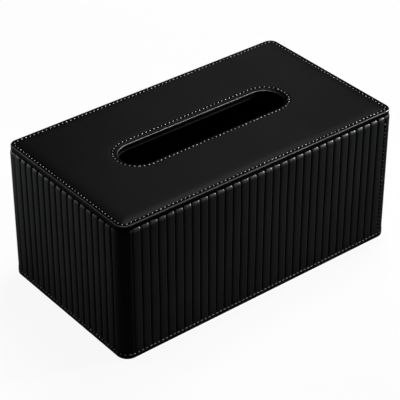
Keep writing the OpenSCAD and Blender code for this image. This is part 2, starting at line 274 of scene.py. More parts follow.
def points_at(x, y, z):
    """Points from their three coordinates, spread over one grid."""
    return np.stack(np.broadcast_arrays(x, y, z), axis=-1)


def outline_turn(part, share):
    """The direction that a rounded rectangle faces: whole quarters on a side, and in a corner also its
    share of the next one."""
    quarter = np.array([-1, -1, 0, 0, 1, 1, 2, 2])[part]
    return (quarter + np.where(part % 2 == 1, share, 0)) * np.pi / 2


def outline(part, share, length, width, radius):
    """Points on a rounded rectangle. Its parts are the sides, even, and the corners, odd, anticlockwise
    from the front side. share is the way along a part, so a point is the corner's centre, plus the
    radius at the corner's turn, plus the run along the side."""
    reach_x = length / 2 - radius
    reach_y = width / 2 - radius
    side_x = np.array([-1, 1, 1, 1, 1, -1, -1, -1])[part]
    side_y = np.array([-1, -1, -1, 1, 1, 1, 1, -1])[part]
    turn = outline_turn(part, share)
    side_run = np.where(part % 4 == 0, 2 * reach_x, 2 * reach_y)
    run = np.where(part % 2 == 1, 0, share * side_run)
    x = side_x * reach_x + radius * np.cos(turn) - run * np.sin(turn)
    y = side_y * reach_y + radius * np.sin(turn) + run * np.cos(turn)
    return x, y


def part_lengths(length, width, radius):
    """Lengths of the eight parts of a rounded rectangle: its sides less two radii, and quarter circles."""
    quarter = math.pi * radius / 2
    return np.array([length - 2 * radius, quarter, width - 2 * radius, quarter] * 2)


def on_outline(walk, length, width, radius):
    """The part at a distance along a rounded rectangle, and the share of it: the distance less the
    lengths of the parts before, over the part's own length."""
    lengths = part_lengths(length, width, radius)
    ends = np.cumsum(lengths)
    walk = np.mod(walk, ends[-1])
    part = np.minimum(np.searchsorted(ends, walk, side="right"), 7)
    share = (walk - ends[part] + lengths[part]) / np.maximum(lengths[part], 1e-9)
    return part, share


def mesh_piece(name, points, corners, starts, smooth, maps, finish):
    """A piece from its points, the point at each corner of each face, the first corner of each face,
    whether a face is smooth, and texture maps of two values for each corner."""
    mesh = bpy.data.meshes.new(name)
    mesh.vertices.add(points.size // 3)
    mesh.vertices.foreach_set("co", points.reshape(-1).astype(np.float32))
    mesh.loops.add(corners.size)
    mesh.loops.foreach_set("vertex_index", corners.reshape(-1).astype(np.int32))
    mesh.polygons.add(len(starts))
    mesh.polygons.foreach_set("loop_start", starts.astype(np.int32))
    mesh.polygons.foreach_set("use_smooth", smooth)
    mesh.update(calc_edges=True)
    for map_name, spots in maps:
        layer = mesh.uv_layers.new(name=map_name)
        layer.data.foreach_set("uv", spots.reshape(-1).astype(np.float32))
    mesh.materials.append(finish)
    piece = bpy.data.objects.new(name, mesh)
    bpy.context.scene.collection.objects.link(piece)
    return piece


def grid_piece(name, points, finish, closed=True, capped=True, maps=()):
    """A piece from a grid of points. Its columns always close into loops, and its rows close too where
    closed is true; otherwise a flat face shuts each end, or where capped is false the end rows already
    meet in a line, which is joined. A face turns outwards where the way along the columns, crossed with
    the way along the rows, does. maps gives texture coordinates: a name and two values for each row and
    column, with the first row and column again at the end."""
    rows, columns = points.shape[:2]
    bands = rows if closed else rows - 1
    r, c = np.meshgrid(np.arange(bands), np.arange(columns), indexing="ij")
    row_at = np.stack([r, r, r + 1, r + 1], axis=-1)
    column_at = np.stack([c, c + 1, c + 1, c], axis=-1)
    quads = (row_at % rows * columns + column_at % columns).reshape(-1)
    starts = np.arange(0, quads.size, 4)
    if not closed and capped:
        first = np.arange(columns)[::-1]
        last = np.arange(columns) + (rows - 1) * columns
        starts = np.concatenate([starts, [quads.size, quads.size + columns]])
        quads = np.concatenate([quads, first, last])
    smooth = np.arange(len(starts)) < r.size
    ends = np.zeros((quads.size - 4 * r.size, 2))
    spots = []
    for map_name, *ways in maps:
        ways = [np.broadcast_to(way, (rows + 1, columns + 1))[row_at, column_at] for way in ways]
        spots.append((map_name, np.concatenate([np.stack(ways, axis=-1).reshape(-1, 2), ends])))
    piece = mesh_piece(name, points, quads, starts, smooth, spots, finish)
    if not closed and not capped:
        shell = bmesh.new()
        shell.from_mesh(piece.data)
        bmesh.ops.remove_doubles(shell, verts=shell.verts, dist=one_place)
        shell.to_mesh(piece.data)
        shell.free()
    return piece


wrap_black = (0.0040, 0.0043, 0.0042, 1)
wrap_worn = (0.0049, 0.0052, 0.0051, 1)
# Painted shade: the black that the creases, the plain strips and the foot are darkened towards
painted_shade_black = (0.0016, 0.0016, 0.0016, 1)
# Painted shade inside the needle holes
hole_shade_black = (0.001, 0.001, 0.001, 1)
grain_cells = 1050
hole_radius = 0.75 * mm


def needle_holes(start, map_name, row, pitch):
    """1 in the needle holes of a row of stitches and 0 off them.
    The map counts the stitches along the row and the millimetres across it. A hole lies half-way
    between two stitches, and the mask is the distance from its centre, cut at the hole's radius."""
    spot = start.make("ShaderNodeUVMap", {"uv_map": map_name})
    spot = start.make("ShaderNodeSeparateXYZ", (), {0: spot}, out=None)
    along = (spot["X"].of("FRACT") - 0.5) * (pitch / mm)
    across = spot["Y"] - row / mm
    distance = (along * along + across * across).of("SQRT")
    return 1 - distance.step(0.45 * hole_radius / mm, 1.3 * hole_radius / mm)


def end_finish(start, relief, strength, depth, values):
    """Ends a finish with one surface of these values, whose bump raises a relief of 1 by depth."""
    bump_values = {"Strength": strength, "Distance": depth, "Height": relief}
    bump = start.make("ShaderNodeBump", (), bump_values, out="Normal")
    skin = start.make("ShaderNodeBsdfPrincipled", (), {**values, "Normal": bump})
    start.make("ShaderNodeOutputMaterial", (), {"Surface": skin})


def leather_finish(name, black, worn, rows=()):
    """Black imitation leather: fine pebbled grain between narrow creases, slow random changes of tone over
    the hide, and painted shade as deep as the first value of its map called polish says. Where a row of
    stitches crosses it, the needle holes are painted dark as shade, with a pucker. Its satin coat is as
    strong as the second value of that map says."""
    finish, start = new_finish(name)
    place = start.make("ShaderNodeTexCoord", out="Object")
    cells = {"Vector": place, "Scale": grain_cells, "Randomness": 1.0}
    pebble = start.make("ShaderNodeTexVoronoi", {"feature": "DISTANCE_TO_EDGE"}, cells, out="Distance")
    grain = pebble.step(0.0, 0.28)
    shade = place.noise(22, 3).step(0.35, 0.70)
    colour = shade.tint(black, worn)
    height = grain * 0.9 + place.noise(5200) * 0.25
    rough = 0.50 - shade * 0.06 + (1 - grain) * 0.08
    shade_and_polish = start.make("ShaderNodeUVMap", {"uv_map": "polish"})
    shade_and_polish = start.make("ShaderNodeSeparateXYZ", (), {0: shade_and_polish}, out=None)
    # Painted shade: the first value of the polish map darkens the colour towards a deeper black
    colour = shade_and_polish["X"].tint(colour, painted_shade_black)
    polish = shade_and_polish["Y"]
    for map_name, row, pitch in rows:
        hole = needle_holes(start, map_name, row, pitch)
        # Painted shade: each needle hole is darkened to near black
        colour = hole.tint(colour, hole_shade_black)
        height = height - hole * 4.0
        rough = rough + hole * 0.3
        polish = polish * (1 - hole)
    end_finish(start, height, strength=0.35, depth=0.05 * mm, values={
        "Base Color": colour,
        "Roughness": rough,
        "Specular IOR Level": 0.005,
        "Coat Weight": polish,
        "Coat Roughness": 0.42,
        "Coat IOR": 1.8,
    })
    return finish


def rejoined(ring):
    """Values of the columns of a ring, with the first column again at the end."""
    return np.concatenate([ring, ring[..., :1]], axis=-1)


def side_level(levels, part, share):
    """A level for each side, front, right, back and left, which runs evenly to the next in a corner."""
    side = part // 2
    return levels[side] + (levels[(side + 1) % 4] - levels[side]) * np.where(part % 2 == 1, share, 0)


def side_columns(count, straight, first_groove):
    """Columns of one side, from its left end: distance along the straight run, the groove on the left,
    the share of the way to the next groove, and for plain columns the distance from the last groove.
    The plain margins at both ends are half of what the ribs leave."""
    across_rib = np.array([0, 0.02, 0.05, 0.09, 0.14, 0.22, 0.36, 0.5, 0.64, 0.78, 0.86, 0.91, 0.95, 0.98])
    margin = (straight - count * rib_pitch) / 2
    plain = margin * np.array([0.0, 0.4, 0.75])
    groove = np.repeat(np.arange(count), across_rib.size)
    share = np.tile(across_rib, count)
    distance = np.concatenate([
        plain,
        margin + (groove + share) * rib_pitch,
        [margin + count * rib_pitch],
        straight - plain[:0:-1],
    ])
    groove = np.concatenate([np.zeros(3, int), groove, np.full(3, count)]) + first_groove
    share = np.concatenate([np.zeros(3), share, np.zeros(3)])
    past = np.concatenate([margin - plain, np.zeros(count * across_rib.size + 1), margin - plain[:0:-1]])
    return distance, groove, share, past


def wrap_columns():
    """All columns of the wrap in order: part, share of the way along it, groove, share across the rib,
    and distance from the nearest groove on plain leather. Corners have even steps and are plain."""
    lengths = part_lengths(cover_length, cover_width, corner_radius)
    found = []
    first = 0
    for side in range(4):
        count = ribs_on_long_side if side % 2 == 0 else ribs_on_short_side
        distance, groove, share, past = side_columns(count, lengths[2 * side], first)
        part = np.full(distance.size, 2 * side)
        found.append(np.stack([part, distance / lengths[2 * side], groove, share, past]))
        arc = np.linspace(0, 1, 15)[:-1]
        margin = (lengths[2 * side] - count * rib_pitch) / 2
        corner = [2 * side + 1, arc, first + count, 0, margin + into_corner]
        found.append(np.stack(np.broadcast_arrays(*corner)))
        first += count + 1
    return np.concatenate(found, axis=1), first


columns, groove_count = wrap_columns()
column_part = columns[0].astype(int)
column_share = columns[1]
column_groove = columns[2].astype(int)
column_across = columns[3]
column_past = columns[4]
on_rib = column_past == 0


def wander(count, heights, reach):
    """How far each of count grooves strays sideways at each height: three slow waves of random phase
    and size, as the needle or the heated bar drifts on its way down the side."""
    size = chance.normal(0, reach, (3, count, 1)) / np.array([1.0, 1.6, 2.4])[:, None, None]
    phase = chance.uniform(0, 2 * np.pi, (3, count, 1))
    waves = np.array([0.6, 1.3, 2.7])[:, None, None]
    return (size * np.sin(waves * 2 * np.pi * heights / wrap_height + phase)).sum(0)


def wrap_rows():
    """Rows of the wrap, from the inner edge of its foot, out, up, over the top and in again: how far a
    row lies behind the crests, its height, the direction that it faces and how strongly the ribs show
    there. The foot and the top are quarter circles, and the hem's row lies in a shallow groove."""
    foot = np.radians([-90, -60, -30])
    hem = np.array([0.7, 1.3, 2.0, 2.6, 3.0, 3.25, 3.5, 3.75, 4.0, 4.3]) * mm
    rise = np.array([4.6, 4.9, 5.3, 5.8, 6.5, 7.5, 9.0, 11.0]) * mm
    body = np.linspace(body_low, wrap_height - rib_top_radius, 22)
    over = np.radians([10, 20, 30, 40, 50, 60, 70, 80, 90])
    swell = np.array([0, 0.1, 0.35, 0.75, 1.0, 0.9, 0.4, 0, 0])
    depth = np.concatenate([
        [wall_inside, 3.6 * mm, 1.4 * mm],
        hem_depth + foot_radius * (1 - np.cos(foot)),
        hem_depth + hem_groove * np.exp(-((hem - hem_row_height) / hem_groove_reach) ** 2),
        hem_depth * (1 - np.clip((rise - rib_foot) / hem_fade, 0, 1)),
        np.zeros(body.size),
        rib_top_radius * (1 - np.cos(over)),
        [3.2 * mm, 4.2 * mm, wall_inside],
    ])
    height = np.concatenate([
        np.zeros(3),
        foot_radius * (1 + np.sin(foot)),
        hem,
        rise,
        body,
        wrap_height - rib_top_radius * (1 - np.sin(over)) + rib_top_swell * swell,
        np.full(3, wrap_height),
    ])
    facing = np.concatenate([
        np.full(3, -np.pi / 2),
        foot,
        np.zeros(hem.size + rise.size + body.size),
        over,
        np.full(3, np.pi / 2),
    ])
    ribbed = np.clip((height - rib_foot + rib_lead) / rib_rise, 0, 1)
    ribbed = ribbed * ribbed * (3 - 2 * ribbed)
    late = np.clip((facing - np.radians(70)) / np.radians(20), 0, 1)
    ribbed = ribbed * (1 - 0.35 * late)
    ribbed[-3:] = [0.35, 0.0, 0.0]
    return depth, height, facing, ribbed


row_depth, row_height, row_facing, row_ribbed = wrap_rows()
drift = wander(groove_count, row_height[None, :], groove_drift)
rib_strength = 1 + chance.normal(0, rib_spread, groove_count + 1)


def rib_relief(ribbed):
    """Depth behind the crests for each row and column: the groove's depth times the distance from the
    rib's middle to a power, and on plain leather the strip's depth with a soft fall into the groove."""
    middle = np.abs(2 * column_across - 1) ** rib_flatness
    rib = rib_depth * middle * rib_strength[column_groove]
    fall = np.exp(-((column_past / groove_fall) ** 1.5))
    plain = strip_depth + (rib_depth - strip_depth) * fall
    return np.where(on_rib, rib, plain)[None, :] * ribbed[:, None]


# Grooves stray sideways, less at the ends of a side and not at all in the corners
side_grooves = np.array([ribs_on_long_side + 1, ribs_on_short_side + 1] * 2)
last_groove = np.cumsum(side_grooves) - 1
edge_groove = np.isin(column_groove, [last_groove, last_groove - side_grooves + 1])
corner_column = column_part % 2 == 1
slide = drift[column_groove] * (1 - column_across)[:, None]
slide = slide + drift[np.minimum(column_groove + 1, groove_count - 1)] * column_across[:, None]
slide = slide * np.exp(-column_past / plain_blend)[:, None]
slide = np.where(edge_groove[:, None], slide * edge_drift_share, slide)
slide = np.where(corner_column[:, None], 0, slide)
lengths = part_lengths(cover_length, cover_width, corner_radius)
share_at = column_share[:, None] + slide / lengths[column_part][:, None]

# Over the corner posts the relief stays outside the wood
relief = rib_relief(row_ribbed)
over_post = (corner_column | (column_past > 0) | edge_groove)[None, :]
post_depth = strip_depth + leather_thick
room_at_post = post_depth - (0.1 + 0.7 * np.clip(row_facing / np.radians(30), 0, 1)[:, None]) * mm
relief = np.where(over_post, np.minimum(relief, room_at_post), relief)
depth_at = row_depth[:, None] + relief * np.cos(row_facing)[:, None]
height_at = row_height[:, None] - relief * np.sin(row_facing)[:, None]
above_post = np.maximum(height_at, post_top + post_clear)
height_at = np.where(over_post & (row_facing > np.radians(45))[:, None], above_post, height_at)
x_at, y_at = outline(
    np.broadcast_to(column_part, depth_at.shape),
    share_at.T,
    cover_length - 2 * depth_at,
    cover_width - 2 * depth_at,
    corner_radius - depth_at,
)
outer = points_at(x_at, y_at, height_at)

# The wrap's inner face
inner_height = np.concatenate([
    wrap_height - np.array([leather_thick, leather_thick, 2.5 * mm]),
    np.array([90, 60, 30, 8, 5.3, 0.9, 0.9]) * mm,
])
board_depth = np.where(corner_column | (column_past > 0), post_depth, board_face)
inner_relief = rib_relief(np.ones(6)) + leather_thick
inner_relief = np.where(over_post, post_depth + skin_gap, inner_relief)
inner_depth = np.concatenate([
    np.full((1, board_depth.size), wall_inside),
    board_depth[None, :],
    inner_relief,
    board_depth[None, :],
    np.full((1, board_depth.size), wall_inside),
])
x_at, y_at = outline(
    np.broadcast_to(column_part, inner_depth.shape),
    np.broadcast_to(column_share, inner_depth.shape),
    cover_length - 2 * inner_depth,
    cover_width - 2 * inner_depth,
    corner_radius - inner_depth,
)
inner = points_at(x_at, y_at, inner_height[:, None])
wrap_points = np.concatenate([outer, inner])

# The count of hem stitches along the wrap, and the height above the table, in millimetres
far_off = 50.0
hidden = len(inner) + 1
hem_line = (cover_length - 2 * hem_depth, cover_width - 2 * hem_depth, corner_radius - hem_depth)
hem_length = part_lengths(*hem_line)
hem_count = round(hem_length.sum() / stitch_pitch)
starts = np.concatenate([[0], np.cumsum(hem_length)])[:-1]
walk = starts[column_part][:, None] + share_at * hem_length[column_part][:, None]
walk = np.concatenate([walk, walk[:1] + hem_length.sum()]) / hem_length.sum() * hem_count
hem_counts = np.concatenate([walk.T, np.repeat(walk.T[:1], hidden, axis=0)])
row_millimetres = np.concatenate([row_height / mm, np.full(hidden, -far_off)])
row_millimetres[:3] = -far_off

# The leather is darkened by painted shade in the creases, on the plain corner strips (less on the
# back-left one, which the lamps light) and towards the foot. Its coat is thinner in the creases and on
# plain leather, and polished over the top edge, with levels for the front, right, back and left side
crease_width = 0.5 * mm
foot_shade_height = 9 * mm
foot_shade_fade = 6.8 * mm
top_shine = np.array([0.60, 0.30, 0.30, 0.16])
top_centre = np.radians([55, 55, 55, 66])
top_breadth = np.radians([28, 28, 28, 15])
least_shine = 0.005
from_groove = np.where(on_rib, np.minimum(column_across, 1 - column_across) * rib_pitch, column_past)
crease_shade = rejoined(np.exp(-((from_groove / crease_width) ** 2)))
# The back-left corner strip, which the lamps light, keeps only a quarter of the painted shade
back_left = (column_part == 5) | ((column_part == 4) & (column_share > 0.5))
back_left = back_left | ((column_part == 6) & (column_share < 0.5))
plain_strip_shade = rejoined((1 - np.exp(-column_past / plain_blend)) * (1 - 0.75 * back_left))
side_shine = side_level(top_shine, column_part, column_share)
side_shine *= np.where(column_part == 0, np.interp(column_share, [0.3, 1], [1, 0.6]), 1)
shine_centre = side_level(top_centre, column_part, column_share)
shine_breadth = side_level(top_breadth, column_part, column_share)
shine = np.exp(-((row_facing[:, None] - shine_centre) / shine_breadth) ** 2) * side_shine
shine = np.concatenate([shine, np.zeros((hidden, shine.shape[1]))])
wrap_polish = (least_shine + rejoined(shine)) * (1 - crease_shade) * (1 - plain_strip_shade)
# Painted shade that deepens from the given height down towards the foot
foot_shade = np.append(np.clip((foot_shade_height - row_height) / foot_shade_fade, 0, 1), np.zeros(hidden))

wrap_leather = leather_finish("ribbed leather", wrap_black, wrap_worn, [
    ("hem", hem_row_height, stitch_pitch),
])
# The polish map carries the painted shade first and the coat second
wrap = grid_piece("ribbed_wrap", wrap_points, wrap_leather, maps=[
    ("hem", hem_counts, row_millimetres[:, None]),
    ("polish", np.maximum(np.maximum(plain_strip_shade, crease_shade), foot_shade[:, None]), wrap_polish),
])
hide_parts("side_wrap")
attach(wrap, "cover")


def on_side(side, along, depth, height):
    """Points on one wall: its outward direction times the reach less the depth, plus the run along it,
    anticlockwise from the wall's middle."""
    out_x, out_y = [(0, -1), (1, 0), (0, 1), (-1, 0)][side]
    reach = (cover_width if side % 2 == 0 else cover_length) / 2 - depth
    return points_at(out_x * reach - out_y * along, out_y * reach + out_x * along, height)


def slab_piece(name, outer, inner, finish):
    """A closed slab between two grids of distance by height, which face away from each other. The
    second follows the first, turned round, in one loop of columns."""
    return grid_piece(name, np.concatenate([outer[:, ::-1], inner], axis=1), finish, closed=False)


# The foam ribs
# A sheet of soft foam is sewn in behind each side of the wrap. Its channels give the ribs their
# round faces, and its back lies on the wall board.

foam_gap = 0.1 * mm
foam_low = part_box("front_padding")[0].z
foam_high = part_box("front_padding")[1].z
foam_swell = 1.12
foam_rounding = 0.35 * mm
foam_round_reach = 1.5 * mm
foam_cream = (0.62, 0.60, 0.54, 1)
foam_yellow = (0.56, 0.50, 0.38, 1)
pore_shade_brown = (0.30, 0.28, 0.22, 1)


def foam_finish(name):
    """Open-cell foam: pale, matt, with small round pores painted darker as shade and a slightly yellowed
    cast in patches.
    """
    finish, start = new_finish(name)
    place = start.make("ShaderNodeTexCoord", out="Object")
    pores = start.make("ShaderNodeTexVoronoi", (), {"Vector": place, "Scale": 1500.0}, out="Distance")
    cell_wall = pores.step(0.10, 0.45)
    # Painted shade in the pores
    colour = cell_wall.tint(pore_shade_brown, place.noise(60).step(0.4, 0.7).tint(foam_cream, foam_yellow))
    end_finish(start, cell_wall, strength=0.6, depth=0.2 * mm, values={
        "Base Color": colour,
        "Roughness": 0.95,
        "Specular IOR Level": 0.2,
    })
    return finish


foam_soft = foam_finish("soft foam")
for side, name in enumerate(["front", "right", "back", "left"]):
    count = ribs_on_long_side if side % 2 == 0 else ribs_on_short_side
    ribs = np.arange(count * 8 + 1) / 8
    along = (ribs - count / 2) * rib_pitch
    crest = 1 - np.abs(2 * (ribs % 1) - 1) ** rib_flatness
    face = leather_thick + foam_gap + rib_depth * foam_swell * (1 - crest)
    heights = np.linspace(foam_low, foam_high, 9)
    from_end = np.minimum(heights - foam_low, foam_high - heights)
    rounding = foam_rounding * np.exp(-from_end / foam_round_reach)
    front = on_side(side, along[:, None], face[:, None] + rounding[None, :], heights[None, :])
    rear = on_side(side, along[:, None], board_face, heights[None, :])
    foam = slab_piece(name + "_foam_ribs", front, rear, foam_soft)
    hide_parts(name + "_padding")
    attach(foam, "cover")


# The wooden box
# Four fibreboard walls are glued to softwood posts in the corners. A softwood ledge along the inside
# of the front wall holds the magnets that the base flap shuts against.

board_tan = (0.36, 0.235, 0.125, 1)
board_fleck = (0.52, 0.37, 0.22, 1)
board_dark = (0.30, 0.19, 0.10, 1)
early_wood = (0.56, 0.39, 0.21, 1)
late_wood = (0.38, 0.22, 0.10, 1)


def fibreboard_finish():
    """Fibreboard: brown, pressed from short fibres, with pale flecks and a faint fuzz."""
    finish, start = new_finish("fibreboard")
    place = start.make("ShaderNodeTexCoord", out="Object")
    fleck = place.noise(900, 4)
    colour = fleck.step(0.42, 0.66).tint(board_tan, board_fleck)
    colour = place.noise(35).step(0.3, 0.8).tint(colour, board_dark)
    end_finish(start, fleck, strength=0.4, depth=0.1 * mm, values={
        "Base Color": colour,
        "Roughness": 0.82 + fleck * 0.1,
    })
    return finish


def pine_finish(name, grain_turn):
    """Softwood: straight grain along one axis, which grain_turn picks, with darker late wood between
    pale early wood."""
    finish, start = new_finish(name)
    place = start.make("ShaderNodeTexCoord", out="Object")
    turned = start.make("ShaderNodeMapping", (), {
        "Vector": place,
        "Rotation": grain_turn,
        "Scale": (1.0, 1.0, 0.06),
    })
    ring = start.make("ShaderNodeTexWave", {"bands_direction": "X"}, {
        "Vector": turned,
        "Scale": 160.0,
        "Distortion": 2.5,
        "Detail": 2.0,
        "Detail Scale": 1.2,
    }, out="Fac")
    fibre = turned.noise(1800)
    end_finish(start, ring * 0.5 + fibre, strength=0.35, depth=0.08 * mm, values={
        "Base Color": ring.step(0.25, 0.95).tint(early_wood, late_wood),
        "Roughness": 0.62 + fibre * 0.15,
    })
    return finish


def dress(node_names, finish):
    """Gives carried-over pieces their finish."""
    for node_name in node_names:
        for place in nodes[node_name].material_slots:
            place.material = finish


fibreboard = fibreboard_finish()
dress(["front_board", "back_board", "left_board", "right_board"], fibreboard)
dress(["front_left_post", "front_right_post", "back_left_post", "back_right_post"],
      pine_finish("pine post", (0, 0, 0)))
dress(["ledge"], pine_finish("pine ledge", (0, math.pi / 2, 0)))


# The magnets
# Four nickel-plated discs are pressed into round pockets, two in the underside of the ledge and two in
# the top of the flap board, near its front edge. They face each other in pairs when the flap is shut.

nickel_dull = (0.52, 0.51, 0.49, 1)
nickel_bright = (0.70, 0.69, 0.66, 1)


def nickel_finish():
    """Nickel-plated magnet: bright metal with fine scratches along one way."""
    finish, start = new_finish("nickel")
    place = start.make("ShaderNodeTexCoord", out="Object")
    streak = start.make("ShaderNodeMapping", (), {"Vector": place, "Scale": (1.0, 0.08, 1.0)})
    scratch = streak.noise(9000)
    end_finish(start, scratch, strength=0.12, depth=0.02 * mm, values={
        "Base Color": scratch.tint(nickel_dull, nickel_bright),
        "Metallic": 1.0,
        "Roughness": 0.22 + scratch * 0.2,
    })
    return finish


nickel = nickel_finish()
dress(["ledge_magnet_left", "ledge_magnet_right", "flap_magnet_left", "flap_magnet_right"], nickel)


# The lining
# Black woven cloth is glued to the inside of each wall board. It starts above the ledge at the front
# and above the hinge strip at the back.

lining_thick = 0.5 * mm
lining_edge = 1.2 * mm
glue_swell = 0.05 * mm
cloth_black = (0.0035, 0.0035, 0.0037, 1)
cloth_crest_light_and_slub = (0.009, 0.009, 0.0095, 1)
threads_per_metre = 1700
glue_gap = 0.02 * mm


def cloth_finish(name, across):
    """Plain-woven cloth: two sets of fine threads over and under each other, with slubs and a soft nap.
    The weave is the product of a sine along and a sine across. across turns the coordinates, so that it
    lies in the cloth's own plane."""
    finish, start = new_finish(name)
    place = start.make("ShaderNodeTexCoord", out="Object")
    turned = start.make("ShaderNodeMapping", (), {"Vector": place, "Rotation": across})
    flat = start.make("ShaderNodeSeparateXYZ", (), {0: turned}, out=None)
    turns = threads_per_metre * math.pi
    weave = (flat["X"] * turns).of("SINE") * (flat["Y"] * turns).of("SINE") * 0.5 + 0.5
    slub = place.noise(400)
    end_finish(start, weave + slub * 0.4, strength=0.5, depth=0.12 * mm, values={
        # Painted shade between the threads: the colour follows the weave, lighter on its crests, and the
        # slubs add real changes of tone
        "Base Color": (weave * 0.6 + slub * 0.5).step(0.1, 1.0).tint(cloth_black, cloth_crest_light_and_slub),
        "Roughness": 0.90,
        "Sheen Weight": 0.15,
        "Specular IOR Level": 0.2,
    })
    return finish


long_wall_cloth = cloth_finish("lining cloth on the long walls", (math.pi / 2, 0, 0))
short_wall_cloth = cloth_finish("lining cloth on the short walls", (0, math.pi / 2, 0))
flat_cloth = cloth_finish("lining cloth laid flat", (0, 0, 0))


def lining_sheet(name, side, node, finish):
    """A thin cloth on a wall. Its face swells and sinks by a product of sines, as the glue has taken, and
    it thins towards its edges."""
    low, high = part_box(node)
    wide = (high.x - low.x) if side % 2 == 0 else (high.y - low.y)
    along = np.linspace(-wide / 2, wide / 2, 49)[:, None]
    heights = np.linspace(low.z, high.z, 21)[None, :]
    edge = np.minimum(wide / 2 - np.abs(along), np.minimum(heights - low.z, high.z - heights))
    swell = glue_swell * (np.sin(along * 70 + side) * np.sin(heights * 95) + 1)
    face = wall_inside + lining_thick * (0.55 + 0.45 * np.clip(edge / lining_edge, 0, 1)) + swell
    rear = on_side(side, along, wall_inside + glue_gap, heights)
    front = on_side(side, along, face, heights)
    cloth = slab_piece(name, rear, front, finish)
    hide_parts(node)
    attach(cloth, "cover")


lining_sheet("front_lining_cloth", 0, "front_lining", long_wall_cloth)
lining_sheet("right_lining_cloth", 1, "right_lining", short_wall_cloth)
lining_sheet("back_lining_cloth", 2, "back_lining", long_wall_cloth)
lining_sheet("left_lining_cloth", 3, "left_lining", short_wall_cloth)


# The lid board and its foam
# The lid is a fibreboard plate with an oval slot, under a thin sheet of foam that stops short of the
# slot's stitches. The foam is squeezed thin under the row of stitches along the lip.

lid_low, lid_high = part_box("lid_cover")
lid_length = lid_high.x - lid_low.x
lid_width = lid_high.y - lid_low.y
lid_bottom = lid_low.z
lid_top = lid_high.z
board_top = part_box("lid_board")[1].z
lid_radius = 7 * mm
least_radius = 1.5 * mm

# The lip, the dip at its row of stitches and the cushion inside it
lip_radius = 1.0 * mm
lip_foot = 2.1 * mm
lip_drop = 0.54 * mm
lid_row_inset = 2.9 * mm
lid_dip = 1.02 * mm
cushion_start = 0.25 * mm
cushion_reach = 9 * mm
lid_swell = 0.07 * mm
swell_from_edge = 10 * mm
swell_from_slot = 6 * mm

# The slot, and the dip at its row of stitches
slot_length = 146 * mm
slot_width = 29 * mm
half_slot = (slot_length - slot_width) / 2
slot_row_out = 3.5 * mm
slot_dip = 0.62 * mm
slot_dip_reach = 1.6 * mm

# The needle holes, and the foam under them
hole_dip = 0.16 * mm
lid_hole_reach = 0.55 * mm
slot_hole_reach = 0.5 * mm
least_foam = 0.05 * mm
foam_rest = 0.01 * mm

dress(["lid_board"], fibreboard)

lid_row = (lid_length - 2 * lid_row_inset, lid_width - 2 * lid_row_inset, lid_radius - lid_row_inset)
lid_row_length = part_lengths(*lid_row).sum()
lid_row_count = round(lid_row_length / stitch_pitch)
lid_walk = (np.arange(lid_row_count)[:, None] + np.array([0, 0.3, 0.5, 0.7])).reshape(-1)
lid_part, lid_share = on_outline(lid_walk * lid_row_length / lid_row_count, *lid_row)


def lid_ring(inset):
    """Rings round the lid, each the given distance in from its edge. The corner's radius shrinks with
    the distance, down to a small one."""
    inset = np.atleast_1d(inset)[:, None]
    length = lid_length - 2 * inset
    width = lid_width - 2 * inset
    radius = np.maximum(lid_radius - inset, least_radius)
    return outline(lid_part[None, :], lid_share[None, :], length, width, radius)


def slot_walk(part, share):
    """Where each column of the lid meets the slot: the middle of the arc that it lies on, and its
    direction from there. The lid's short side and both its corners share the slot's round end, in
    proportion to their lengths."""
    ends = part_lengths(lid_length, lid_width, lid_radius)
    run = np.cumsum(np.concatenate([[0], ends[1:4]]))
    end_part = np.clip(part % 4 - 1, 0, 2)
    progress = (run[end_part] + share * ends[1:4][end_part]) / run[-1]
    turn = np.where(part % 4 == 0, -np.pi / 2, np.pi * (progress - 0.5))
    centre = np.where(part % 4 == 0, half_slot * (2 * share - 1), half_slot)
    far = part >= 4
    return np.where(far, -centre, centre), np.where(far, turn + np.pi, turn)


slot_centre, slot_turn = slot_walk(lid_part, lid_share)


def slot_ring(centre, turn, out):
    """Rings round the slot, each the given distance outside its wall: an arc's middle plus its radius
    in the direction of the turn."""
    radius = slot_width / 2 + np.atleast_1d(out)[:, None]
    return centre + radius * np.cos(turn), radius * np.sin(turn)


def slot_distance(centre, turn, out):
    """Distance walked along a ring round the slot, from the left end of its front side: the straight
    parts passed, plus the radius times the turn."""
    near = 1e-6
    turn = np.mod(turn + np.pi / 2 + 1e-9, 2 * np.pi)
    straight = np.where(turn < np.pi - near, centre + half_slot, 3 * half_slot - centre)
    straight = np.where((turn > near) & (turn < np.pi - near), 2 * half_slot, straight)
    straight = np.where(turn > np.pi + near, 4 * half_slot, straight)
    return straight + (slot_width / 2 + out) * turn


# Rows over the top of the lid, from the lip to the slot's edge
lip_turn = np.radians(np.linspace(0, 90, 8))
lip_inset = lip_radius * (1 - np.cos(lip_turn))
lip_height = lid_top - lip_drop - lip_radius * (1 - np.sin(lip_turn))
cushion = mm * np.array([
    1.12, 1.3, 1.5, 1.7, 1.9, 2.15, 2.4, 2.65, 2.9, 3.15, 3.4, 3.8, 4.4, 5.2, 6.3, 7.7, 9.3, 11.5, 14,
])
falling = np.clip((cushion - lip_radius) / (lip_foot - lip_radius), 0, 1)
rising = np.clip((cushion - lid_row_inset - cushion_start) / cushion_reach, 0, 1)
cushion_height = np.where(
    cushion < lid_row_inset,
    lid_top - lip_drop - (lid_dip - lip_drop) * (0.5 - 0.5 * np.cos(np.pi * falling)),
    lid_top - lid_dip * (1 - rising - np.sin(np.pi * rising) / np.pi),
)
spread = np.array([0.1, 0.22, 0.36, 0.5, 0.64, 0.78, 0.9])[:, None]
slot_out = slot_row_out + np.array([7.0, 5.0, 3.6, 2.5, 1.7, 1.0, 0.5, 0.2, 0.0]) * mm
slot_height = lid_top - slot_dip * np.exp(-(slot_out - slot_row_out) / slot_dip_reach)
margin_out = slot_row_out - np.array([0.2, 0.5, 0.9, 1.35, 1.85, 2.35, 2.65, 2.8]) * mm
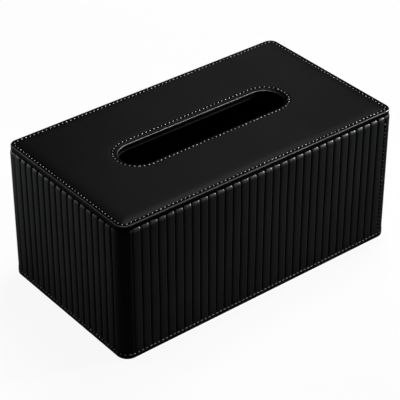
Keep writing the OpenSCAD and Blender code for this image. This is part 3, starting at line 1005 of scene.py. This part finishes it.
margin_height = lid_top - np.array([0.62, 0.64, 0.72, 0.90, 1.2, 1.56, 1.8, 2.0]) * mm
edge_x, edge_y = lid_ring(np.concatenate([lip_inset, cushion]))
near_x, near_y = slot_ring(slot_centre, slot_turn, np.concatenate([slot_out, margin_out]))
mid_x = edge_x[-1:] + (near_x[:1] - edge_x[-1:]) * spread
mid_y = edge_y[-1:] + (near_y[:1] - edge_y[-1:]) * spread
top_x = np.concatenate([edge_x, mid_x, near_x])
top_y = np.concatenate([edge_y, mid_y, near_y])
top_height = np.concatenate([
    lip_height, cushion_height, np.full(spread.size, lid_top), slot_height, margin_height
])[:, None]

# The stitches pull the leather down at each needle hole
slot_row_length = 2 * (slot_length - slot_width) + 2 * np.pi * (slot_width / 2 + slot_row_out)
slot_row_count = round(slot_row_length / stitch_pitch)
slot_count_at = slot_distance(slot_centre, slot_turn, slot_row_out) / slot_row_length * slot_row_count
to_slot = np.concatenate([slot_out, margin_out])
edge_rows = lip_inset.size + cushion.size
edge_at = np.concatenate([lip_inset, cushion, np.full(spread.size + to_slot.size, far_off * mm)])
slot_at = np.concatenate([np.full(edge_rows + spread.size, -far_off * mm), slot_row_out - to_slot])


def pucker(count_at, row_at, row, reach):
    """How far the thread pulls the leather down, from 0 to 1: a cosine along the row, deepest in the
    holes half-way between two stitches, times a bell curve across it."""
    between = (0.5 - 0.5 * np.cos(2 * np.pi * count_at)) ** 2
    near = np.exp(-((row_at - row) / reach) ** 2)
    return near[:, None] * between[None, :]


top_height = top_height - hole_dip * pucker(lid_walk, edge_at, lid_row_inset, lid_hole_reach)
top_height = top_height - hole_dip * pucker(slot_count_at, slot_at, 0.0, slot_hole_reach)
slow_swell = np.sin(top_x * 31 + 1.3) * np.sin(top_y * 43 + 0.4)
flat_share = np.clip(edge_at / swell_from_edge, 0, 1) * np.clip(np.abs(slot_at) / swell_from_slot, 0, 1)
top_height = top_height - lid_swell * (slow_swell + 1) * flat_share[:, None]

# The foam runs from the lip's crest to the fifth row round the slot, short of the slot's stitches
foam_rows = slice(lip_inset.size - 1, edge_rows + spread.size + 5)
foam_x = top_x[foam_rows]
foam_y = top_y[foam_rows]
foam_face = np.maximum(top_height[foam_rows] - leather_thick - foam_gap, board_top + least_foam)
lid_foam_points = np.concatenate([
    points_at(foam_x, foam_y, foam_face),
    points_at(foam_x, foam_y, board_top + foam_rest)[::-1],
])
lid_foam = grid_piece("lid_foam_sheet", lid_foam_points, foam_soft)
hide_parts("lid_foam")
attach(lid_foam, "cover")


# The lid's leather
# Black leather is drawn over the foam and turned under the lid board. It stands up in a thin rounded
# lip outside the stitches, swells like a cushion inside them, and dips again to the slot.

turn_in = np.array([12.0, 8.0, 4.0, 1.9, 1.2, 0.6, 0.16, 0.0, 0.03]) * mm
turn_height = lid_bottom + np.array([0.0, 0.0, 0.0, 0.0, 0.0, 0.16, 0.6, 1.2, 2.2]) * mm
inside_in = np.array([0.9, 0.9, 12.0]) * mm
inside_height = lid_bottom + np.array([2.0, 0.9, 0.9]) * mm
under_x, under_y = lid_ring(turn_in)
back_x, back_y = lid_ring(inside_in)
shell_rows = slice(lip_inset.size - 1, None)
shell_height = np.maximum(top_height[shell_rows] - leather_thick + skin_gap, board_top + glue_gap)
# Painted shade: the lid's leather, and the slot band's, has the wrap's black painted ten times darker, so
# that the top renders darker
lid_shaded_black = (0.0004, 0.0004, 0.0004, 1)
lid_shaded_worn = (0.0007, 0.0007, 0.0007, 1)
lid_coat = 0.042
coat_from_edge = 3.3 * mm
edge_coat_rise = 1.0 * mm
coat_from_row = 0.7 * mm
row_coat_rise = 0.8 * mm
lid_points = np.concatenate([
    points_at(under_x, under_y, turn_height[:, None]),
    points_at(top_x, top_y, top_height),
    points_at(top_x[shell_rows], top_y[shell_rows], shell_height)[::-1],
    points_at(back_x, back_y, inside_height[:, None]),
])
hidden = len(shell_height) + inside_in.size + 1
edge_map = np.concatenate([np.full(turn_in.size, -far_off), edge_at / mm, np.full(hidden, far_off)])
slot_map = np.concatenate([np.full(turn_in.size, -far_off), slot_at / mm, np.full(hidden, far_off)])
edge_counts = np.append(lid_walk, lid_row_count)
slot_counts = np.append(slot_count_at, slot_row_count)

# The lip is polished along its crest, with levels for the front, right, back and left side, and the top
# has an even coat that fades at both rows of stitches and on the near side of the slot
lip_top_shine = np.array([0.76, 0.20, 0.40, 0.68])
lip_top_centre = np.radians([42, 48, 48, 63])
lip_top_breadth = np.radians([19, 22, 22, 11])
lip_level = side_level(lip_top_shine, lid_part, lid_share)
lip_level *= np.where(lid_part == 0, np.interp(lid_share, [0.3, 1], [1, 0.5]), 1)
lip_centre = side_level(lip_top_centre, lid_part, lid_share)
lip_breadth = side_level(lip_top_breadth, lid_part, lid_share)
lip_shine = np.exp(-((lip_turn[:, None] - lip_centre) / lip_breadth) ** 2) * lip_level
row_shade = np.clip((cushion - coat_from_edge) / edge_coat_rise, 0, 1)
slot_shade = np.clip((np.abs(to_slot - slot_row_out) - coat_from_row) / row_coat_rise, 0, 1)
coat = lid_coat * np.concatenate([row_shade, np.ones(spread.size), slot_shade])[:, None]
coat = coat * np.ones(lid_walk.size)
coat[-margin_out.size:] *= np.clip(0.5 + 0.8 * np.sin(slot_turn), 0, 1)
lid_polish = rejoined(np.concatenate([
    np.zeros((turn_in.size, lid_walk.size)),
    lip_shine,
    coat,
    np.zeros((hidden, lid_walk.size)),
]))
lid_leather = leather_finish("lid leather", lid_shaded_black, lid_shaded_worn, [
    ("lip", lid_row_inset, lid_row_length / lid_row_count),
    ("slot", 0.0, slot_row_length / slot_row_count),
])
lid_cover = grid_piece("lid_leather", lid_points, lid_leather, maps=[
    ("lip", edge_counts, edge_map[:, None]),
    ("slot", slot_counts, slot_map[:, None]),
    ("polish", 0.0, lid_polish),
])
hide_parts("lid_cover")
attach(lid_cover, "cover")


# The slot's band
# A narrow strip of leather lines the slot. Its upper edge is rolled outwards and sits against the
# lid's leather, and its foot is turned out and glued under the lid board.

band_columns = 520
roll_radius = 0.42 * mm
roll_out = 0.34 * mm
roll_height = lid_top - 1.95 * mm
gather_depth = 0.05 * mm
gather_short = 1.3 * mm
gather_middle = 2.3 * mm
gather_long = 7.1 * mm


def round_slot(walk, radius):
    """The arc's middle and the turn at a distance walked round the slot, at this radius of its round
    ends: on a straight the middle moves, and on an end the turn grows by the walk over the radius."""
    half_way = 2 * half_slot + math.pi * radius
    far = walk >= half_way
    run = walk % half_way
    on_end = run > 2 * half_slot
    centre = np.where(on_end, half_slot, run - half_slot) * np.where(far, -1, 1)
    turn = np.where(on_end, (run - 2 * half_slot) / radius, 0) - np.pi / 2
    return centre, turn + np.where(far, np.pi, 0)


band_loop = 2 * (2 * half_slot + math.pi * slot_width / 2)
band_walk = np.arange(band_columns) / band_columns * band_loop
band_centre, band_turn = round_slot(band_walk, slot_width / 2)
roll_turn = np.radians([-40, 0, 35, 65, 90, 115, 145, 180, 215])
band_out = np.concatenate([
    np.array([4.8, 0.95, 0.92, 0.85]) * mm,
    roll_out + roll_radius * np.cos(roll_turn),
    np.array([0.05, 0.0, 0.02, -0.05, -0.15, -0.22, 0.0, 0.55, 1.1, 4.8]) * mm,
])
band_height = np.concatenate([
    lid_bottom + np.array([0.88, 0.88, 1.3, 2.0]) * mm,
    roll_height + roll_radius * np.sin(roll_turn),
    lid_bottom + np.array([2.15, 1.4, 0.6, -0.3, -1.0, -1.45, -1.75, -1.6, 0.0, 0.0]) * mm,
])

# Along its inner face the band is gathered a little, in waves of three lengths
faces_in = np.concatenate([np.zeros(9), np.linspace(0.3, 1, 4), [1, 1, 1, 1, 0.6, 0.3, 0, 0, 0, 0]])
gather = np.sin(band_walk / gather_middle) * np.sin(band_walk / gather_long + 1)
gather = gather + 0.5 * np.sin(band_walk / gather_short)
band_out = band_out[:, None] + gather_depth * faces_in[:, None] * gather[None, :]
radius = slot_width / 2 + band_out
band_points = points_at(
    band_centre + radius * np.cos(band_turn), radius * np.sin(band_turn), band_height[:, None],
)
bead_shine = np.exp(-((roll_turn - np.radians(100)) / np.radians(50)) ** 2)
foot_shine = [0, 0, 0, 0, 0.3, 0.4, 0.2, 0, 0, 0, 0]
far_share = rejoined((0.5 + 0.5 * np.sin(band_turn)) ** 3)
band_polish = np.concatenate([np.zeros(4), bead_shine, foot_shine])[:, None] * far_share + 0.01
# The band takes the lid's black, with its painted shade
band_leather = leather_finish("band leather", lid_shaded_black, lid_shaded_worn)
band = grid_piece("slot_band_leather", band_points, band_leather, maps=[("polish", 0.0, band_polish)])
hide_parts("slot_band")
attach(band, "cover")


# The lid's lining
# Black cloth is glued to the underside of the lid board, between the turned leather and the band's
# foot. It swells a little between its edges.

lining_in = 12.1 * mm
lining_out = 5.0 * mm
ring_x, ring_y = lid_ring(lining_in)
hole_x, hole_y = slot_ring(slot_centre, slot_turn, lining_out)
share = np.linspace(0, 1, 10)[:, None]
cloth_x = ring_x + (hole_x - ring_x) * share
cloth_y = ring_y + (hole_y - ring_y) * share
lining_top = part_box("lid_lining")[1].z - glue_gap
lining_wave = 1 + np.sin(cloth_x * 80) * np.sin(cloth_y * 60)
lining_sag = lining_thick + glue_swell * lining_wave * np.sin(np.pi * share)
lid_cloth_points = np.concatenate([
    points_at(cloth_x, cloth_y, lining_top),
    points_at(cloth_x, cloth_y, lining_top - lining_sag)[::-1],
])
lid_cloth = grid_piece("lid_lining_cloth", lid_cloth_points, flat_cloth)
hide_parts("lid_lining")
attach(lid_cloth, "cover")


# The stitches
# Waxed thread, sewn by machine: grey along the lid, the slot and the hem, and dark up the closing
# seam. Each stitch lies along its row, a little aslant, and dives into a needle hole at both ends.

thread_radius = 0.3 * mm
stitch_length = 1.3 * mm
stitch_lean = 0.30 * mm
lean_spread = 0.05 * mm
length_spread = 0.03
stitch_rise = 0.16 * mm
stitch_dive = 0.30 * mm
pulled_depth = 0.16 * mm
thread_sides = 6
grey_light = (0.33, 0.33, 0.32, 1)
grey_dark = (0.16, 0.16, 0.155, 1)
black_light = (0.035, 0.035, 0.034, 1)
black_dark = (0.010, 0.010, 0.010, 1)


def thread_finish(name, dark, light):
    """Twisted waxed thread: plies that wind round it as a sine of the way along and the way round,
    painted darker between them as shade, with a dull sheen."""
    finish, start = new_finish(name)
    spot = start.make("ShaderNodeUVMap", {"uv_map": "ply"})
    spot = start.make("ShaderNodeSeparateXYZ", (), {0: spot}, out=None)
    ply = ((spot["X"] * 3 + spot["Y"] * 5) * (2 * math.pi)).of("SINE") * 0.5 + 0.5
    place = start.make("ShaderNodeTexCoord", out="Object")
    fuzz = place.noise(2600)
    end_finish(start, ply + fuzz * 0.3, strength=0.6, depth=0.06 * mm, values={
        # Painted shade between the plies, with random fuzz in the tone
        "Base Color": (ply * 0.7 + fuzz * 0.4).step(0.1, 0.9).tint(dark, light),
        "Roughness": 0.55 + fuzz * 0.2,
    })
    return finish


grey_thread = thread_finish("waxed thread", grey_dark, grey_light)
dark_thread = thread_finish("dark thread", black_dark, black_light)


def stitch_row(name, node, middle, heading, outward, pulled=0.0, length=stitch_length,
               lean=stitch_lean, thread=grey_thread):
    """One row of stitches. A stitch is a thread with six sides: its middle line runs along the heading,
    rises out of the leather by a parabola, leans by a share of its length, and thins at both ends by a
    fourth power. A stitch that is pulled tight lies deeper, shorter and straighter."""
    count = len(middle)
    heading = np.broadcast_to(heading, middle.shape)
    outward = np.broadcast_to(outward, middle.shape)
    station = np.array([-1.0, -0.86, -0.5, 0.0, 0.5, 0.86, 1.0])
    sideways = np.cross(outward, heading)
    pulled = np.broadcast_to(pulled, count)[:, None, None]
    lean = (lean + chance.normal(0, lean_spread, count))[:, None, None] * (1 - pulled)
    length = length * (1 + chance.normal(0, length_spread, count))[:, None, None] * (1 - 0.3 * pulled)
    u = station[None, :, None]
    rise = stitch_rise * (1 - u ** 2) - stitch_dive * u ** 6 - pulled_depth * pulled
    line = middle[:, None, :] + heading[:, None, :] * u * length / 2
    line = line + outward[:, None, :] * rise
    line = line + sideways[:, None, :] * lean * u
    girth = thread_radius * (1 - 0.30 * station ** 4)
    turn = np.arange(thread_sides) / thread_sides * 2 * np.pi
    around = sideways[:, None, None, :] * np.cos(turn)[None, None, :, None]
    around = around + outward[:, None, None, :] * np.sin(turn)[None, None, :, None] * 0.9
    points = line[:, :, None, :] + around * girth[None, :, None, None]

    # One stitch's faces: quads along its sides, and two more across each end
    bands = station.size - 1
    r, c = np.meshgrid(np.arange(bands), np.arange(thread_sides), indexing="ij")
    along_at = np.stack([r, r, r + 1, r + 1], axis=-1).reshape(-1, 4)
    around_at = np.stack([c, c + 1, c + 1, c], axis=-1).reshape(-1, 4)
    sides = along_at * thread_sides + around_at % thread_sides
    end = np.array([[0, 1, 2, 3], [0, 3, 4, 5]])
    one = np.concatenate([sides, end[:, ::-1], end + bands * thread_sides])
    first_points = np.arange(count) * station.size * thread_sides
    faces = (one[None, :, :] + first_points[:, None, None]).reshape(-1, 4)
    ply = np.stack([around_at / thread_sides, along_at / bands], axis=-1)
    ply = np.concatenate([ply, np.zeros((4, 4, 2))])
    piece = mesh_piece(name, points, faces, np.arange(0, faces.size, 4), np.ones(len(faces), bool),
                       [("ply", np.tile(ply.reshape(-1), count))], thread)
    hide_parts(node)
    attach(piece, "cover")


def row_on_outline(count, height, length, width, radius):
    """Middles, headings and outward directions of stitches spaced evenly along a rounded rectangle. The
    outward direction is the turn's, and the heading is its tangent."""
    walk = np.arange(count) / count * part_lengths(length, width, radius).sum()
    part, share = on_outline(walk, length, width, radius)
    x, y = outline(part, share, length, width, radius)
    turn = outline_turn(part, share)
    heading = points_at(-np.sin(turn), np.cos(turn), 0.0)
    return points_at(x, y, height), heading, points_at(np.cos(turn), np.sin(turn), 0.0)


straight_up = [0.0, 0.0, 1.0]
to_front = [0.0, -1.0, 0.0]

# Along the lid's lip, tighter on the short sides
lid_row_height = lid_top - lid_dip + 0.12 * mm
middle, heading, _ = row_on_outline(lid_row_count, lid_row_height, *lid_row)
stitch_row("lid_stitches", "lid_stitching", middle, heading, straight_up, heading[:, 1] ** 2)

# Along the hem, sunk into its groove
hem_sunk = hem_depth + 0.30 * mm
hem_stitch_length = 2.1 * mm
hem_stitch_lean = 0.05 * mm
hem_row = (cover_length - 2 * hem_sunk, cover_width - 2 * hem_sunk, corner_radius - hem_sunk)
middle, heading, outward = row_on_outline(hem_count, hem_row_height, *hem_row)
stitch_row("hem_stitches", "hem_stitching", middle, heading, outward, 1 - heading[:, 0] ** 8,
           hem_stitch_length, hem_stitch_lean)

# Round the slot
slot_row_height = lid_top - slot_dip - 0.02 * mm
radius = slot_width / 2 + slot_row_out
centre, turn = round_slot(np.arange(slot_row_count) / slot_row_count * slot_row_length, radius)
middle = points_at(centre + radius * np.cos(turn), radius * np.sin(turn), slot_row_height)
heading = points_at(-np.sin(turn), np.cos(turn), 0.0)
stitch_row("slot_stitches", "slot_stitching", middle, heading, straight_up, 0.5 * heading[:, 1] ** 2)

# Up the closing seam beside the right-hand corner
seam_low, seam_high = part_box("seam_stitching")
seam_x = (seam_low.x + seam_high.x) / 2
seam_y = -cover_width / 2 + strip_depth + 0.10 * mm
seam_heights = np.arange(seam_low.z + stitch_length / 2, seam_high.z, stitch_pitch)
middle = points_at(seam_x, seam_y, seam_heights)
stitch_row("seam_stitches", "seam_stitching", middle, straight_up, to_front, thread=dark_thread)


# The base flap
# The flap that shuts the bottom is a board in leather turned over its edges, with cloth over the
# turned edges inside. The magnets near its front edge hold it to the ledge.

dress(["flap_board"], fibreboard)
flap_low, flap_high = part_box("flap_cover")
flap_length = flap_high.x - flap_low.x
flap_width = flap_high.y - flap_low.y
flap_middle = (flap_high.y + flap_low.y) / 2
flap_bottom = flap_low.z
flap_top = flap_high.z
flap_corner = 2.0 * mm
flap_turn = 9 * mm
edge_round = 0.8 * mm
fold_gap = 0.03 * mm
shut_line = flap_width / 2

# Both long sides have the same columns, so that the ends of the leather's rows meet along the middle
flap_columns = [110, 4, 62, 4] * 2
flap_part = np.repeat(np.arange(8), flap_columns)
flap_share = np.concatenate([np.arange(count) / count for count in flap_columns])
bend = np.radians([0, 30, 60, 90])
flap_in = np.concatenate([
    [shut_line, shut_line / 2, 20 * mm, 8 * mm, 3 * mm],
    edge_round * (1 - np.sin(bend)),
    edge_round * (1 - np.cos(bend)),
    [3 * mm, 6 * mm, flap_turn, flap_turn, 3 * mm, leather_thick, leather_thick, 5 * mm, shut_line],
])
flap_height = np.concatenate([
    np.full(5, flap_bottom),
    flap_bottom + edge_round * (1 - np.cos(bend)),
    flap_top - edge_round * (1 - np.sin(bend)),
    [flap_top] * 3,
    [flap_top - leather_thick + fold_gap] * 3,
    [flap_bottom + leather_thick - fold_gap] * 3,
])
inset = flap_in[:, None]
flap_x, flap_y = outline(
    flap_part[None, :], flap_share[None, :], flap_length - 2 * inset, flap_width - 2 * inset,
    np.clip(flap_corner - inset, 0, None),
)
flap_points = points_at(flap_x, flap_y + flap_middle, flap_height[:, None])
even_polish = ("polish", 0.0, 0.03)
flap_finish = leather_finish("flap leather", wrap_black, wrap_worn)
flap_leather = grid_piece("flap_leather", flap_points, flap_finish, closed=False, capped=False,
                          maps=[even_polish])
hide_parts("flap_cover")
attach(flap_leather, "base_flap")


def flat_box(node, columns, rows):
    """The box of a flat node, a grid over it, and each point's distance from the nearest edge."""
    low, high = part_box(node)
    x = np.linspace(low.x, high.x, columns)[:, None]
    y = np.linspace(low.y, high.y, rows)[None, :]
    edge = np.minimum(np.minimum(x - low.x, high.x - x), np.minimum(y - low.y, high.y - y))
    return low, high, x, y, edge


flap_lining_edge = 1.5 * mm
flap_swell_edge = 4.0 * mm
flap_swell = 0.04 * mm
low, high, cloth_x, cloth_y, edge = flat_box("flap_lining", 40, 24)
cloth_wave = flap_swell * (1 + np.sin(cloth_x * 61) * np.sin(cloth_y * 83))
cloth_face = low.z + lining_thick * (0.6 + 0.4 * np.clip(edge / flap_lining_edge, 0, 1))
cloth_face = cloth_face + cloth_wave * np.clip(edge / flap_swell_edge, 0, 1)
cloth_front = points_at(cloth_x, cloth_y, cloth_face)
cloth_rear = points_at(cloth_x, cloth_y, low.z + glue_gap)
flap_cloth = slab_piece("flap_lining_cloth", cloth_front, cloth_rear, flat_cloth)
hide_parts("flap_lining")
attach(flap_cloth, "base_flap")


# The pull tab
# A short length of ribbed black ribbon lies flat under the flap, just behind its front edge. One end
# is glued to the leather, and the other is pulled to open the flap.

ribbon_black = (0.008, 0.008, 0.009, 1)
ribbon_sheen = (0.022, 0.022, 0.024, 1)
ribbon_cord = 0.8 * mm
tab_thinning = 0.12 * mm
tab_edge = 0.6 * mm
tab_swell = 0.06 * mm
tab_clear = 0.08 * mm


def ribbon_finish():
    """Grosgrain ribbon: round cross ribs, a sine along the ribbon, with a dull shine and a painted sheen
    on their tops.
    """
    finish, start = new_finish("grosgrain ribbon")
    place = start.make("ShaderNodeTexCoord", out="Object")
    flat = start.make("ShaderNodeSeparateXYZ", (), {0: place}, out=None)
    cord = (flat["Y"] * (2 * math.pi / ribbon_cord)).of("SINE") * 0.5 + 0.5
    fibre = place.noise(3500)
    end_finish(start, cord + fibre * 0.2, strength=0.7, depth=0.15 * mm, values={
        # Painted sheen: the colour is lighter on the cords' tops
        "Base Color": (cord * 0.8 + fibre * 0.3).step(0.1, 1.0).tint(ribbon_black, ribbon_sheen),
        "Roughness": 0.45 + fibre * 0.2,
        "Specular IOR Level": 0.15,
    })
    return finish


low, high, tab_x, tab_y, edge = flat_box("pull_tab", 19, 33)
thin = tab_thinning * np.exp(-edge / tab_edge)
tab_wave = tab_swell * np.sin((tab_y - low.y) / (high.y - low.y) * 2 * np.pi)
tab_upper = points_at(tab_x, tab_y, high.z - glue_gap - thin)
tab_lower = points_at(tab_x, tab_y, low.z + tab_clear + thin + tab_wave)
tab = slab_piece("ribbon_tab", tab_upper, tab_lower, ribbon_finish())
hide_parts("pull_tab")
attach(tab, "base_flap")


# The hinge strip
# A strip of thin leather is glued up the back board and under the flap. It bends along the line
# between them, and that bend is the hinge.

strip_low, strip_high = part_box("hinge_strip")
strip_thick = 0.66 * mm
strip_clear = 0.1 * mm
bend_radius = 0.55 * mm
hinge = frame["joints"][0]["pos_m"]

# The strip's middle line goes down the board, round a quarter circle and along under the flap
quarter = np.radians(np.linspace(0, 90, 9))[1:-1]
up_leaf = np.linspace(strip_high.z - strip_clear, hinge[2] + bend_radius, 12)
under_leaf = np.linspace(hinge[1] - bend_radius, strip_low.y + strip_clear, 12)
line_y = np.concatenate([
    np.full(up_leaf.size, hinge[1]),
    hinge[1] - bend_radius * (1 - np.cos(quarter)),
    under_leaf,
])
line_z = np.concatenate([
    up_leaf,
    hinge[2] + bend_radius * (1 - np.sin(quarter)),
    np.full(under_leaf.size, hinge[2]),
])
run_y = np.gradient(line_y)
run_z = np.gradient(line_z)
run = np.hypot(run_y, run_z)
side_y = run_z / run * strip_thick / 2
side_z = -run_y / run * strip_thick / 2
loop_y = np.concatenate([line_y + side_y, (line_y - side_y)[::-1]])
loop_z = np.concatenate([line_z + side_z, (line_z - side_z)[::-1]])
strip_x = np.linspace(strip_low.x, strip_high.x, 61)
strip_points = points_at(strip_x[:, None], loop_y[None, :], loop_z[None, :])
strip_finish = leather_finish("hinge leather", wrap_black, wrap_worn)
strip = grid_piece("hinge_leather", strip_points, strip_finish, closed=False, maps=[even_polish])
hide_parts("hinge_strip")
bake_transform(strip)
